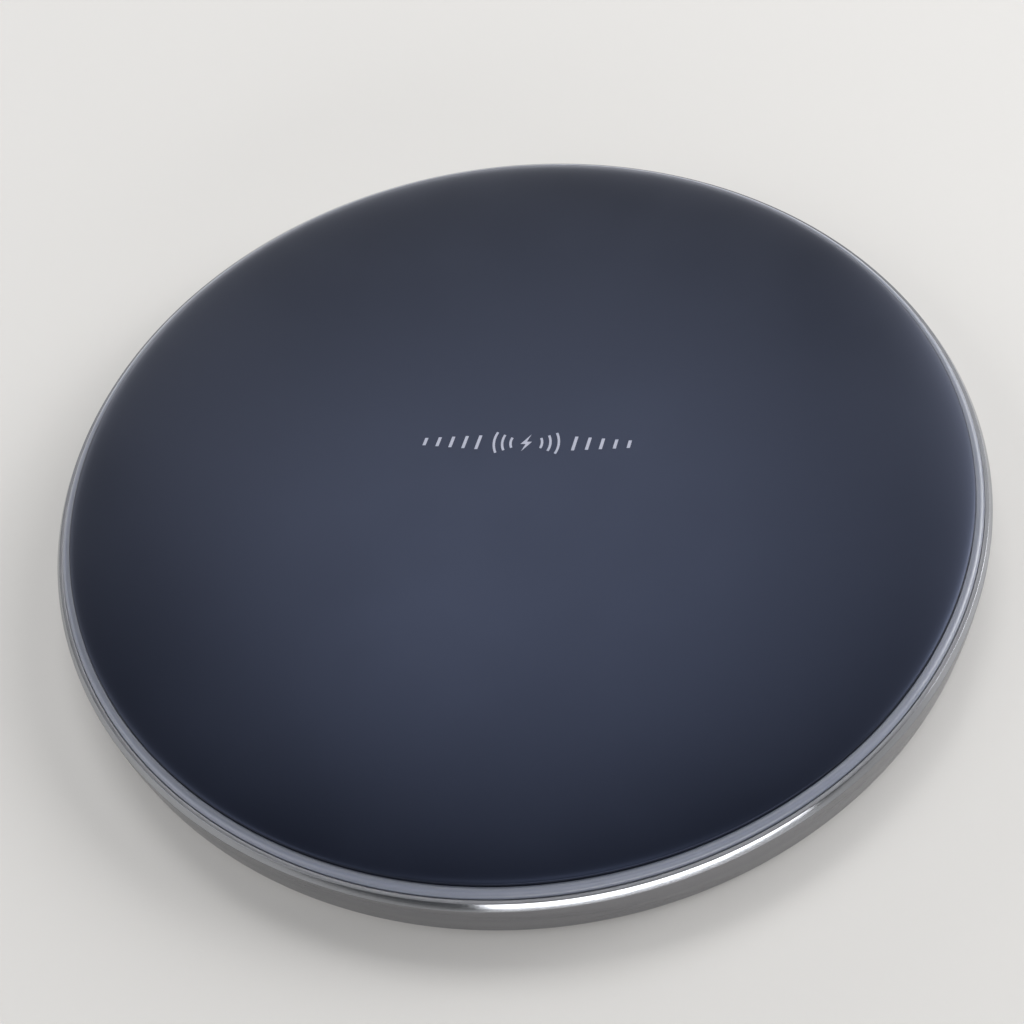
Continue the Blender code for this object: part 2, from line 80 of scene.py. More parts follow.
# inside of the cover from its skirt to the axis, radius and height in millimetres
CEILING = ((46.9, 5.45), (46.6, 5.9), (44.5, 6.4), (40.0, 6.95), (31.0, 7.35), (0.0, 7.35))

LIGHT_OUTER = reach_of("light_guide_ring")
LIGHT_SETBACK = 0.12 * MM  # of its crown under the CAD node's
LIGHT_TOP = top_of("light_guide_ring") - LIGHT_SETBACK
LIGHT_LOW = foot_of("light_guide_ring")
LIGHT_WIDTH = 0.91 * MM
LIGHT_SHOULDER = 0.55 * MM
FLANGE_TOP = 5.2 * MM
FLANGE_INNER = 44.4 * MM
NOTCH_WIDTH = 10.7 * MM  # gap in the flange for the inlet

BEZEL_OUTER = reach_of("bezel_ring")
BEZEL_TOP = top_of("bezel_ring")
BEZEL_LOW = foot_of("bezel_ring")
BEZEL_INNER = LIGHT_OUTER + 0.05 * MM
FACET_SETBACK = 0.45 * MM  # of the facet's upper edge from the pad's side
FACET_FALL = 0.60 * MM
EDGE_FALL = 0.68 * MM  # from the top down to the widest edge
WALL_DRAFT = 0.16 * MM
WALL_CHAMFER = 0.30 * MM
REBATE_DEPTH = 1.5 * MM
LEDGE_WIDTH = 1.25 * MM  # under the light ring's flange
LEDGE_GAP = 0.1 * MM

BASE_OUTER = reach_of("bottom_cover")
BASE_LOW = foot_of("bottom_cover")
BASE_TOP = top_of("bottom_cover")
FLOOR_TOP = BASE_LOW + 1.0 * MM
RIB_INNER, RIB_OUTER, RIB_TOP = 20.0 * MM, 22.0 * MM, 4.2 * MM  # the coil's platform
LOCATING_INNER, LOCATING_OUTER = 46.2 * MM, 47.6 * MM  # the skirt inside the bezel
BASE_FLANGE_TOP = 1.9 * MM
POCKET_WIDTH = 9.7 * MM  # gap in the skirt for the inlet

FOOT_OUTER = reach_of("foot_ring")
FOOT_TOP = top_of("foot_ring")
FOOT_WIDTH = 4.6 * MM
GROOVE_MARGIN = 0.2 * MM

LABEL_RADIUS = reach_of("rating_label")
LABEL_TOP = top_of("rating_label")

PORT_LOW, PORT_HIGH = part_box("usb_shell")
PORT_Z = (PORT_LOW.z + PORT_HIGH.z) / 2
PORT_SLOT = (9.6 * MM, 3.6 * MM)  # width and height of the slot through the rim
SLOT_BREAK = 0.22 * MM  # chamfer round its mouth

SCREWS = [(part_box(f"base_screw_{n}")[0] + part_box(f"base_screw_{n}")[1]) / 2 for n in (1, 2, 3, 4)]


# ---------------------------------------------------------------- mesh helpers

def corner_arc(before, corner, after, radius, steps):
    """Points of the arc that rounds a corner of an outline."""
    to_before = (before - corner).normalized()
    to_after = (after - corner).normalized()
    half = to_before.angle(to_after) / 2
    centre = corner + (to_before + to_after).normalized() * (radius / math.sin(half))
    first = corner + to_before * (radius / math.tan(half)) - centre
    last = corner + to_after * (radius / math.tan(half)) - centre
    sweep = first.angle_signed(last)
    return [centre + Matrix.Rotation(-sweep * i / steps, 2) @ first for i in range(steps + 1)]


def rounded(outline, steps=5):
    """A closed outline of (radius, height, rounding) corners as plain points, with its corners rounded."""
    corners = [Vector(point[:2]) for point in outline]
    points = []
    for i, (corner, spec) in enumerate(zip(corners, outline)):
        rounding = spec[2] if len(spec) > 2 else 0
        if rounding:
            after = corners[(i + 1) % len(corners)]
            points += corner_arc(corners[i - 1], corner, after, rounding, steps)
        else:
            points.append(corner)
    return points


def lathe(name, outline, steps=TURN_STEPS):
    """A closed solid of revolution. The outline of (radius, height) points runs down its outer side, and one
    that starts and ends on the axis is closed by it."""
    shape = bmesh.new()
    rings = []
    for radius, height in outline:
        if radius < 1e-9:
            rings.append([shape.verts.new((0, 0, height))] * steps)
            continue
        angles = (2 * math.pi * i / steps for i in range(steps))
        rings.append([shape.verts.new((radius * math.cos(a), radius * math.sin(a), height)) for a in angles])
    spans = list(zip(rings, rings[1:]))
    if outline[0][0] > 1e-9:
        spans.append((rings[-1], rings[0]))
    for upper, lower in spans:
        for i in range(steps):
            j = (i + 1) % steps
            corners = dict.fromkeys((upper[i], lower[i], lower[j], upper[j]))
            if len(corners) > 2:
                shape.faces.new(corners)
    bmesh.ops.recalc_face_normals(shape, faces=shape.faces)
    return finish_mesh(name, shape)


def finish_mesh(name, shape):
    """A new object from a bmesh, shaded smooth up to its edges."""
    mesh = bpy.data.meshes.new(name)
    shape.to_mesh(mesh)
    shape.free()
    obj = bpy.data.objects.new(name, mesh)
    bpy.context.scene.collection.objects.link(obj)
    smooth(obj)
    return obj


def smooth(obj):
    obj.data.shade_smooth()
    obj.data.set_sharp_from_angle(angle=SHARP)


def true_normals(obj):
    """Keeps the flats between rounded edges flat in the shading."""
    weighted = obj.modifiers.new("flat_faces", "WEIGHTED_NORMAL")
    weighted.mode = "FACE_AREA"
    weighted.weight = 100
    weighted.keep_sharp = True


def boolean(obj, operation, tool):
    """Cuts or joins a tool at once, and removes the tool."""
    modifier = obj.modifiers.new(operation, "BOOLEAN")
    modifier.operation = operation
    modifier.object = tool
    mesh = bpy.data.meshes.new_from_object(obj.evaluated_get(bpy.context.evaluated_depsgraph_get()))
    obj.modifiers.clear()
    obj.data = mesh
    bpy.data.objects.remove(tool)
    smooth(obj)


def loft(name, loops):
    """A closed body through loops with the same number of points, capped at both ends."""
    shape = bmesh.new()
    rows = [[shape.verts.new(point) for point in loop] for loop in loops]
    for low, high in zip(rows, rows[1:]):
        for i in range(len(low)):
            j = (i + 1) % len(low)
            shape.faces.new((low[i], low[j], high[j], high[i]))
    shape.faces.new(reversed(rows[0]))
    shape.faces.new(rows[-1])
    bmesh.ops.recalc_face_normals(shape, faces=shape.faces)
    return finish_mesh(name, shape)


def slot_outline(width, height, corner, steps=8):
    """(x, z) points of a rounded rectangle about the origin."""
    points = []
    for sx, sz, start in ((1, 1, 0), (-1, 1, 90), (-1, -1, 180), (1, -1, 270)):
        cx, cz = sx * (width / 2 - corner), sz * (height / 2 - corner)
        for i in range(steps + 1):
            angle = math.radians(start + 90 * i / steps)
            points.append((cx + corner * math.cos(angle), cz + corner * math.sin(angle)))
    return points


def paint(obj, *materials):
    for material in materials:
        obj.data.materials.append(material)


def place(obj, slot, *nodes):
    """The piece rides on the pad's only body and stands for CAD nodes; slot is not used."""
    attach(obj, "root")
    if nodes:
        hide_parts(*nodes)


# ---------------------------------------------------------------- material helpers

class Graph:
    """Builds a material's nodes. An input is a plain value or another node's output."""

    def __init__(self, name):
        self.material = bpy.data.materials.new(name)
        self.material.use_nodes = True
        self.tree = self.material.node_tree
        self.shader = self.tree.nodes["Principled BSDF"]

    def put(self, socket, value):
        if isinstance(value, bpy.types.NodeSocket):
            self.tree.links.new(value, socket)
        elif isinstance(value, tuple) and len(value) == 3 and socket.type == "RGBA":
            socket.default_value = (*value, 1)
        else:
            socket.default_value = value

    def node(self, kind, inputs, output=0, **settings):
        made = self.tree.nodes.new(kind)
        for key, value in settings.items():
            setattr(made, key, value)
        for key, value in inputs.items():
            self.put(made.inputs[key], value)
        return made.outputs[output]

    def shade(self, **sockets):
        """Sets the shader's sockets by name, with _ for a space."""
        for key, value in sockets.items():
            self.put(self.shader.inputs[key.replace("_", " ")], value)
        return self.material

    def place(self):
        return self.node("ShaderNodeTexCoord", {}, "Object")

    def math(self, operation, a, b=0.0):
        return self.node("ShaderNodeMath", {0: a, 1: b}, operation=operation)

    def stretch(self, vector, scale):
        return self.node("ShaderNodeVectorMath", {0: vector, 1: scale}, operation="MULTIPLY")

    def noise(self, vector, scale, detail=3.0, roughness=0.5):
        return self.node(
            "ShaderNodeTexNoise", {"Vector": vector, "Scale": scale, "Detail": detail, "Roughness": roughness}
        )

    def cells(self, vector, scale):
        """Distance to the nearest of scattered points."""
        return self.node("ShaderNodeTexVoronoi", {"Vector": vector, "Scale": scale}, "Distance")

    def span(self, value, low, high, to_low, to_high):
        return self.node(
            "ShaderNodeMapRange",
            {"Value": value, "From Min": low, "From Max": high, "To Min": to_low, "To Max": to_high},
        )

    def blend(self, share, first, second):
        return self.node("ShaderNodeMix", {0: share, 6: first, 7: second}, 2, data_type="RGBA")

    def bump(self, height, distance):
        return self.node("ShaderNodeBump", {"Height": height, "Distance": distance, "Strength": 1.0})

    def turned(self, round_scale, radial_scale, height_scale):
        """Coordinates round the pad's axis, stretched so that noise in them runs in turning lines."""
        x, y, z = (self.node("ShaderNodeSeparateXYZ", {0: self.place()}, i) for i in range(3))
        angle = self.math("ARCTAN2", y, x)
        reach = self.math("SQRT", self.math("ADD", self.math("MULTIPLY", x, x), self.math("MULTIPLY", y, y)))
        parts = {
            0: self.math("MULTIPLY", self.math("SINE", angle), round_scale),
            1: self.math("MULTIPLY", reach, radial_scale),
            2: self.math("ADD", self.math("MULTIPLY", z, height_scale), self.math("COSINE", angle)),
        }
        return self.node("ShaderNodeCombineXYZ", parts)


def grained(name, dark, light, grain, rough, bump, metallic=0.0):
    """A material with fine grain: two tones mottled, roughness that varies and a bump. grain is in 1/m."""
    g = Graph(name)
    tone = g.noise(g.place(), 90.0, 4.0, 0.6)
    fine = g.noise(g.place(), grain, 2.0, 0.6)
    return g.shade(
        Base_Color=g.blend(g.span(tone, 0.3, 0.7, 0.0, 1.0), dark, light),
        Roughness=g.span(fine, 0.25, 0.75, rough[0], rough[1]),
        Metallic=metallic,
        Normal=g.bump(fine, bump),
    )


# ---------------------------------------------------------------- materials of what shows

def soft_touch_black():
    """Satin blue-black coating: a faint fine grain, cloudy roughness and a few specks of dust."""
    g = Graph("soft_touch_black")
    grain = g.noise(g.place(), 9000.0, 2.0, 0.7)
    cloud = g.noise(g.place(), 45.0, 3.0, 0.55)
    near_speck = g.cells(g.place(), 90.0)
    chance = g.noise(g.place(), 130.0, 1.0)
    reach = g.span(chance, 0.52, 0.75, 0.0, 0.010)
    speck = g.math("LESS_THAN", near_speck, reach)
    coat = g.blend(g.span(cloud, 0.3, 0.7, 0.0, 1.0), (0.0052, 0.0064, 0.0112), (0.0064, 0.0078, 0.0135))
    return g.shade(
        Base_Color=g.blend(speck, coat, (0.16, 0.17, 0.20)),
        Roughness=g.span(g.math("ADD", cloud, g.math("MULTIPLY", grain, 0.4)), 0.45, 0.95, 0.32, 0.39),
        Normal=g.bump(grain, 0.0030 * MM),
        Specular_Tint=(0.50, 0.61, 1.0, 1.0),
        IOR=1.42,
    )


def print_ink():
    g = Graph("print_ink")
    patch = g.noise(g.place(), 6000.0, 3.0, 0.7)
    return g.shade(
        Base_Color=g.blend(g.span(patch, 0.35, 0.7, 0.0, 1.0), (0.30, 0.31, 0.39), (0.38, 0.39, 0.47)),
        Roughness=g.span(patch, 0.3, 0.7, 0.45, 0.65),
        Normal=g.bump(patch, 0.002 * MM),
    )


def frosted_guide():
    """Frosted clear plastic: light scatters just under a fine matte skin."""
    g = Graph("frosted_guide")
    frost = g.noise(g.place(), 7000.0, 3.0, 0.7)
    haze = g.noise(g.turned(2.0, 900.0, 300.0), 1.6, 3.0, 0.5)
    return g.shade(
        Base_Color=g.blend(g.span(haze, 0.3, 0.7, 0.0, 1.0), (0.130, 0.145, 0.190), (0.180, 0.195, 0.245)),
        Roughness=g.span(frost, 0.3, 0.7, 0.32, 0.46),
        Normal=g.bump(frost, 0.004 * MM),
        Subsurface_Weight=0.35,
        Subsurface_Radius=(0.6 * MM, 0.6 * MM, 0.8 * MM),
        Subsurface_Scale=1.0,
        Coat_Weight=0.6,
        Coat_Roughness=0.3,
    )


def polished_metal():
    """Diamond-cut facet: a mirror with hair-fine turning lines and a slow waver."""
    g = Graph("polished_metal")
    lines = g.noise(g.turned(6.0, 60000.0, 60000.0), 1.0, 2.0, 0.7)
    waver = g.noise(g.turned(9.0, 200.0, 200.0), 1.0, 2.0, 0.5)
    relief = g.math("ADD", g.math("MULTIPLY", lines, 0.25), g.math("MULTIPLY", waver, 0.4))
    return g.shade(
        Base_Color=g.blend(waver, (0.28, 0.29, 0.31), (0.34, 0.35, 0.37)),
        Metallic=1.0,
        Roughness=g.span(lines, 0.3, 0.7, 0.07, 0.15),
        Normal=g.bump(relief, 0.004 * MM),
    )


def satin_metal():
    """Turned and lightly blasted wall: fine lines round the rim, small knocks and smudges."""
    g = Graph("satin_metal")
    lines = g.noise(g.turned(5.0, 24000.0, 24000.0), 1.0, 3.0, 0.75)
    smudge = g.noise(g.turned(8.0, 250.0, 250.0), 1.0, 4.0, 0.6)
    knocks = g.math("LESS_THAN", g.cells(g.place(), 420.0), g.span(smudge, 0.55, 0.8, 0.0, 0.06))
    relief = g.math("SUBTRACT", lines, g.math("MULTIPLY", knocks, 0.8))
    return g.shade(
        Base_Color=g.blend(g.span(smudge, 0.3, 0.7, 0.0, 1.0), (0.235, 0.235, 0.250), (0.285, 0.285, 0.300)),
        Metallic=1.0,
        Roughness=g.span(g.math("ADD", lines, smudge), 0.7, 1.3, 0.24, 0.38),
        Normal=g.bump(relief, 0.010 * MM),
    )


def land_metal_painted_shade():
    """The narrow land inside the facet: the same metal, left dull by its coarser turning marks, with a darker
    base colour that is painted shade of the groove between the light ring and the facet.
    """
    g = Graph("land_metal_painted_shade")
    lines = g.noise(g.turned(4.0, 30000.0, 30000.0), 1.0, 3.0, 0.75)
    return g.shade(
        Base_Color=g.blend(lines, (0.15, 0.153, 0.165), (0.19, 0.193, 0.205)),
        Metallic=1.0,
        Roughness=g.span(lines, 0.3, 0.7, 0.30, 0.45),
        Normal=g.bump(lines, 0.006 * MM),
    )


def moulded_black():
    """Spark-eroded ABS: an even pebble with slightly glossier tops."""
    g = Graph("moulded_black")
    pebble = g.cells(g.place(), 3200.0)
    cloud = g.noise(g.place(), 60.0, 3.0, 0.6)
    return g.shade(
        Base_Color=g.blend(g.span(cloud, 0.3, 0.7, 0.0, 1.0), (0.016, 0.017, 0.019), (0.026, 0.027, 0.030)),
        Roughness=g.span(pebble, 0.1, 0.7, 0.48, 0.66),
        Normal=g.bump(pebble, 0.020 * MM),
    )


def silicone():
    """Anti-slip silicone: dull, with a fine skin and a little dust that clings to it."""
    g = Graph("silicone")
    skin = g.noise(g.place(), 4200.0, 3.0, 0.7)
    reach = g.span(g.noise(g.place(), 220.0), 0.5, 0.8, 0.0, 0.07)
    dust = g.math("LESS_THAN", g.cells(g.place(), 700.0), reach)
    tone = g.blend(g.span(skin, 0.3, 0.7, 0.0, 1.0), (0.030, 0.031, 0.034), (0.045, 0.046, 0.050))
    return g.shade(
        Base_Color=g.blend(dust, tone, (0.16, 0.16, 0.16)),
        Roughness=g.span(skin, 0.3, 0.7, 0.68, 0.86),
        Normal=g.bump(skin, 0.012 * MM),
        Sheen_Weight=0.15,
        Sheen_Roughness=0.5,
    )


def label_film():
    """Blank satin film with a fine border line printed near its edge."""
    g = Graph("label_film")
    x, y, _ = (g.node("ShaderNodeSeparateXYZ", {0: g.place()}, i) for i in range(3))
    reach = g.math("SQRT", g.math("ADD", g.math("MULTIPLY", x, x), g.math("MULTIPLY", y, y)))
    off_line = g.math("ABSOLUTE", g.math("SUBTRACT", reach, LABEL_RADIUS - 1.2 * MM))
    border = g.math("LESS_THAN", off_line, 0.12 * MM)
    weave = g.noise(g.place(), 5200.0, 2.0, 0.6)
    film = g.blend(g.span(weave, 0.3, 0.7, 0.0, 1.0), (0.058, 0.060, 0.066), (0.072, 0.074, 0.080))
    return g.shade(
        Base_Color=g.blend(border, film, (0.42, 0.43, 0.45)),
        Roughness=g.span(weave, 0.3, 0.7, 0.34, 0.46),
        Normal=g.bump(weave, 0.003 * MM),
    )


# ---------------------------------------------------------------- outer pieces

def dome_outline():
    """The cover's outer face, from the axis to its rim."""
    reach = COVER_RADIUS - FLAT_RADIUS
    rise = COVER_TOP - RIM_Z
    outline = [(0.0, COVER_TOP), (FLAT_RADIUS / 2, COVER_TOP)]
    for step in range(DOME_STEPS + 1):
        angle = math.pi / 2 * (1 - step / DOME_STEPS)
        across = max(math.cos(angle), 0) ** (2 / DOME_POWER)
        up = max(math.sin(angle), 0) ** (2 / DOME_POWER)
        outline.append((FLAT_RADIUS + reach * across, RIM_Z + rise * up))
    return outline


def screw_pins(name, radius, low, high):
    """Four upright cylinders on the screws, as one tool."""
    shape = bmesh.new()
    for screw in SCREWS:
        made = bmesh.ops.create_cone(
            shape, cap_ends=True, segments=HOLE_STEPS, radius1=radius, radius2=radius, depth=high - low
        )
        bmesh.ops.translate(shape, vec=(screw.x, screw.y, (low + high) / 2), verts=made["verts"])
    return finish_mesh(name, shape)


def make_cover():
    inside = [(radius * MM, height * MM) for radius, height in CEILING]
    outline = dome_outline() + [(COVER_RADIUS, SKIRT_Z)] + inside
    cover = lathe("cover_shell", outline)
    boss_low, boss_top, pilot_top = foot_of("top_cover"), 7.3 * MM, 6.0 * MM
    boolean(cover, "UNION", screw_pins("bosses", 2.2 * MM, boss_low, boss_top))
    boolean(cover, "DIFFERENCE", screw_pins("pilots", 0.9 * MM, boss_low - MM, pilot_top))
    paint(cover, soft_touch_black())
    place(cover, "cover_black", "top_cover")


def make_light_ring():
    inner = LIGHT_OUTER - LIGHT_WIDTH
    outline = rounded(
        [
            (inner, LIGHT_TOP, 0.05 * MM),
            (LIGHT_OUTER, LIGHT_TOP, LIGHT_SHOULDER),
            (LIGHT_OUTER, LIGHT_LOW, 0.05 * MM),
            (FLANGE_INNER, LIGHT_LOW, 0.10 * MM),
            (FLANGE_INNER, FLANGE_TOP, 0.10 * MM),
            (inner, FLANGE_TOP),
        ],
        10,
    )
    ring = lathe("light_guide", outline)
    half = NOTCH_WIDTH / 2
    near, far = FLANGE_INNER - 2 * MM, FLANGE_INNER + 6 * MM
    low, high = LIGHT_LOW - 0.4 * MM, FLANGE_TOP + 0.2 * MM
    loops = [[(-half, y, low), (half, y, low), (half, y, high), (-half, y, high)] for y in (near, far)]
    boolean(ring, "DIFFERENCE", loft("notch", loops))
    true_normals(ring)
    paint(ring, frosted_guide())
    place(ring, "light_guide", "light_guide_ring")


def flared_slot():
    """The inlet's slot through the wall, with an even break where it meets the round outside."""
    width, height = PORT_SLOT
    corner = height / 2 - 0.05 * MM
    inner = slot_outline(width, height, corner, 12)
    outer = slot_outline(width + 2 * SLOT_BREAK, height + 2 * SLOT_BREAK, corner + SLOT_BREAK, 12)

    def wall_y(x):
        return math.sqrt(BEZEL_OUTER**2 - x * x)

    loops = [
        [(x, BEZEL_INNER - 4 * MM, PORT_Z + z) for x, z in inner],
        [(x, wall_y(x) - SLOT_BREAK, PORT_Z + z) for x, z in inner],
        [(x, wall_y(x) + 0.02 * MM, PORT_Z + z) for x, z in outer],
        [(x, BEZEL_OUTER + MM, PORT_Z + z) for x, z in outer],
    ]
    return loft("port_slot", loops)


def make_bezel():
    """Metal ring: inner land, polished facet, a thin lit edge and a satin wall that draws in at the foot."""
    rebate = BASE_OUTER + 0.20 * MM
    ledge = LIGHT_LOW - LEDGE_GAP
    outline = rounded(
        [
            (BEZEL_INNER, BEZEL_TOP, 0.04 * MM),
            (BEZEL_OUTER - FACET_SETBACK, BEZEL_TOP, 0.05 * MM),
            (BEZEL_OUTER - 0.035 * MM, BEZEL_TOP - FACET_FALL, 0.04 * MM),
            (BEZEL_OUTER, BEZEL_TOP - EDGE_FALL, 0.05 * MM),
            (BEZEL_OUTER, PORT_Z, 8.0 * MM),
            (BEZEL_OUTER - WALL_DRAFT, BEZEL_LOW + WALL_CHAMFER, 0.15 * MM),
            (BEZEL_OUTER - WALL_DRAFT - WALL_CHAMFER, BEZEL_LOW, 0.10 * MM),
            (rebate, BEZEL_LOW, 0.06 * MM),
            (rebate, BEZEL_LOW + REBATE_DEPTH),
            (BEZEL_INNER - LEDGE_WIDTH, BEZEL_LOW + REBATE_DEPTH),
            (BEZEL_INNER - LEDGE_WIDTH, ledge, 0.05 * MM),
            (BEZEL_INNER, ledge),
        ]
    )
    bezel = lathe("bezel", outline, 2 * TURN_STEPS)
    boolean(bezel, "DIFFERENCE", flared_slot())
    # the land's slot takes a darker metal: painted shade of the groove beside the light ring
    paint(bezel, satin_metal(), polished_metal(), land_metal_painted_shade())
    facet, land = 1, 2
    for face in bezel.data.polygons:
        if face.normal.z >= 0.9 and face.center.z > BEZEL_TOP - 0.05 * MM:
            face.material_index = land
        elif face.normal.z > 0.25 and face.center.z > BEZEL_TOP - FACET_FALL - 0.02 * MM:
            if face.center.xy.length > BEZEL_INNER + 0.1 * MM:
                face.material_index = facet
    true_normals(bezel)
    place(bezel, "bezel_metal", "bezel_ring")


def make_base():
    groove_outer = FOOT_OUTER + GROOVE_MARGIN
    groove_inner = FOOT_OUTER - FOOT_WIDTH - GROOVE_MARGIN
    groove_top = FOOT_TOP + 0.1 * MM
    recess = LABEL_RADIUS + 0.3 * MM
    recess_top = LABEL_TOP + 0.1 * MM
    outline = rounded(
        [
            (0.0, FLOOR_TOP),
            (RIB_INNER, FLOOR_TOP, 0.2 * MM),
            (RIB_INNER, RIB_TOP, 0.2 * MM),
            (RIB_OUTER, RIB_TOP, 0.2 * MM),
            (RIB_OUTER, FLOOR_TOP, 0.2 * MM),
            (LOCATING_INNER, FLOOR_TOP, 0.3 * MM),
            (LOCATING_INNER, BASE_TOP, 0.2 * MM),
            (LOCATING_OUTER, BASE_TOP, 0.2 * MM),
            (LOCATING_OUTER, BASE_FLANGE_TOP),
            (BASE_OUTER, BASE_FLANGE_TOP, 0.1 * MM),
            (BASE_OUTER, BASE_LOW, 0.15 * MM),
            (groove_outer, BASE_LOW, 0.10 * MM),
            (groove_outer, groove_top, 0.05 * MM),
            (groove_inner, groove_top, 0.05 * MM),
            (groove_inner, BASE_LOW, 0.10 * MM),
            (recess, BASE_LOW, 0.06 * MM),
            (recess, recess_top, 0.05 * MM),
            (0.0, recess_top),
        ],
        4,
    )
    base = lathe("base_shell", outline)
    boss_low, boss_top, head_top = FLOOR_TOP - 0.3 * MM, 2.3 * MM, 1.75 * MM
    boolean(base, "UNION", screw_pins("bosses", 3.0 * MM, boss_low, boss_top))
    boolean(base, "DIFFERENCE", screw_pins("counterbores", 1.8 * MM, 0.0, head_top))
    boolean(base, "DIFFERENCE", screw_pins("clearances", 0.95 * MM, MM, boss_top + MM))
    half = POCKET_WIDTH / 2
    low = PORT_Z - PORT_SLOT[1] / 2
    loops = [
        [(-half, y, low), (half, y, low), (half, y, BASE_TOP + MM), (-half, y, BASE_TOP + MM)]
        for y in (PORT_LOW.y - 0.5 * MM, BASE_OUTER + MM)
    ]
    boolean(base, "DIFFERENCE", loft("pocket", loops))
    true_normals(base)
    paint(base, moulded_black())
    place(base, "base_plastic", "bottom_cover")


def make_foot():
    """Silicone ring with soft edges and three shallow grooves in the face that grips."""
    inner = FOOT_OUTER - FOOT_WIDTH
    outline = [
        (inner, FOOT_TOP, 0.05 * MM),
        (FOOT_OUTER, FOOT_TOP, 0.05 * MM),
        (FOOT_OUTER, 0.0, 0.28 * MM),
    ]
    groove_half, groove_deep = 0.16 * MM, 0.12 * MM
    for share in (0.75, 0.5, 0.25):
        middle = inner + FOOT_WIDTH * share
        outline += [
            (middle + groove_half, 0.0, 0.05 * MM),
            (middle, groove_deep, 0.04 * MM),
            (middle - groove_half, 0.0, 0.05 * MM),
        ]
    outline.append((inner, 0.0, 0.28 * MM))
    foot = lathe("foot", rounded(outline, 4))
    true_normals(foot)
    paint(foot, silicone())
    place(foot, "foot_silicone", "foot_ring")


def make_label():
    outline = rounded(
        [
            (0.0, LABEL_TOP),
            (LABEL_RADIUS, LABEL_TOP, 0.03 * MM),
            (LABEL_RADIUS, BASE_LOW, 0.05 * MM),
            (LABEL_RADIUS - 0.5 * MM, BASE_LOW),
            (0.0, BASE_LOW),
        ],
        3,
    )
    label = lathe("blank_label", outline)
    true_normals(label)
    paint(label, label_film())
    place(label, "label", "rating_label")


# ---------------------------------------------------------------- print on the cover

PRINT_CENTRE = Vector((1.85 * MM, 0.4 * MM))
STROKE = 0.26 * MM


def arc_band(radius, spread, middle):
    """Outline of a bent stroke of one width about the origin, spread degrees to each side."""
    steps = 14
    angles = [math.radians(middle - spread + 2 * spread * i / steps) for i in range(steps + 1)]
    outer = [Vector((math.cos(a), math.sin(a))) * (radius + STROKE / 2) for a in angles]
    inner = [Vector((math.cos(a), math.sin(a))) * (radius - STROKE / 2) for a in reversed(angles)]
    return outer + inner


def bolt_outline():
    """A plain spark: two slanted strokes that meet in the middle."""
    half = [(0.45, 1.15), (-0.60, -0.16), (-0.05, -0.16)]
    return [Vector(point) * MM for point in half + [(-x, -y) for x, y in half]]


def bar_outline(middle, height):
    lean = 0.18
    corners = ((-0.5, -0.5), (0.5, -0.5), (0.5, 0.5), (-0.5, 0.5))
    return [Vector((middle + x * STROKE * 1.3 + y * height * lean, y * height)) for x, y in corners]


def make_print():
    """A row of plain signs in pale ink: a spark, waves to each side of it and a row of bars."""
    shapes = [bolt_outline()]
    for radius in (1.7 * MM, 2.6 * MM, 3.5 * MM):
        shapes += [arc_band(radius, 24, middle) for middle in (0, 180)]
    for step in range(5):
        reach = (5.2 + 1.45 * step) * MM
        height = (1.9 - 0.22 * step) * MM
        shapes += [bar_outline(reach, height), bar_outline(-reach, height)]
    shape = bmesh.new()
    low, high = COVER_TOP - PRINT_PROUD, COVER_TOP + PRINT_PROUD
    for outline in shapes:
        rows = [[shape.verts.new((*(point + PRINT_CENTRE), z)) for point in outline] for z in (low, high)]
        count = len(outline)
        shape.faces.new(rows[1])
        shape.faces.new(reversed(rows[0]))
        for i in range(count):
            j = (i + 1) % count
            shape.faces.new((rows[0][i], rows[0][j], rows[1][j], rows[1][i]))
    bmesh.ops.recalc_face_normals(shape, faces=shape.faces)
    sign = finish_mesh("cover_print", shape)
    paint(sign, print_ink())
    place(sign, "cover_print")


# ---------------------------------------------------------------- USB-C inlet

FINE_GRAIN = 5000.0  # per metre

def make_inlet():
    """Drawn steel shell with a rolled lip, and the tongue inside with a row of contacts on each face."""
    width, _, height = PORT_HIGH - PORT_LOW
    wall = 0.3 * MM
    lip = 0.08 * MM
    back, mouth = PORT_LOW.y, PORT_HIGH.y
    corner = height / 2 - 0.1 * MM
    outside = slot_outline(width, height, corner, 10)
    inside = slot_outline(width - 2 * wall, height - 2 * wall, corner - wall, 10)
    eased_out = slot_outline(width - 2 * lip, height - 2 * lip, corner - lip, 10)
    eased_in = slot_outline(width - 2 * (wall - lip), height - 2 * (wall - lip), corner - wall + lip, 10)
    route = [
        (outside, back),
        (outside, mouth - lip),
        (eased_out, mouth),
        (eased_in, mouth),
        (inside, mouth - lip),
        (inside, back),
    ]
    shape = bmesh.new()
    rows = [[shape.verts.new((x, y, PORT_Z + z)) for x, z in outline] for outline, y in route]
    for near, far in zip(rows, rows[1:] + rows[:1]):
        for i in range(len(near)):
            j = (i + 1) % len(near)
            shape.faces.new((near[i], near[j], far[j], far[i]))
    bmesh.ops.recalc_face_normals(shape, faces=shape.faces)
    shell = finish_mesh("inlet_shell", shape)
    dark, light = (0.52, 0.52, 0.54), (0.62, 0.62, 0.64)
    paint(shell, grained("drawn_steel", dark, light, FINE_GRAIN, (0.22, 0.34), 0.002 * MM, 1.0))
    place(shell, "inlet_steel", "usb_shell")
    make_tongue()


def slab(shape, low, high, edge):
    """A box with eased edges, added to a bmesh."""
    size = high - low
    made = bmesh.ops.create_cube(shape, size=1)
    bmesh.ops.scale(shape, vec=size, verts=made["verts"])
    bmesh.ops.translate(shape, vec=(low + high) / 2, verts=made["verts"])
    edges = {e for v in made["verts"] for e in v.link_edges}
    bmesh.ops.bevel(shape, geom=list(edges), offset=edge, segments=3, profile=0.5, affect="EDGES")


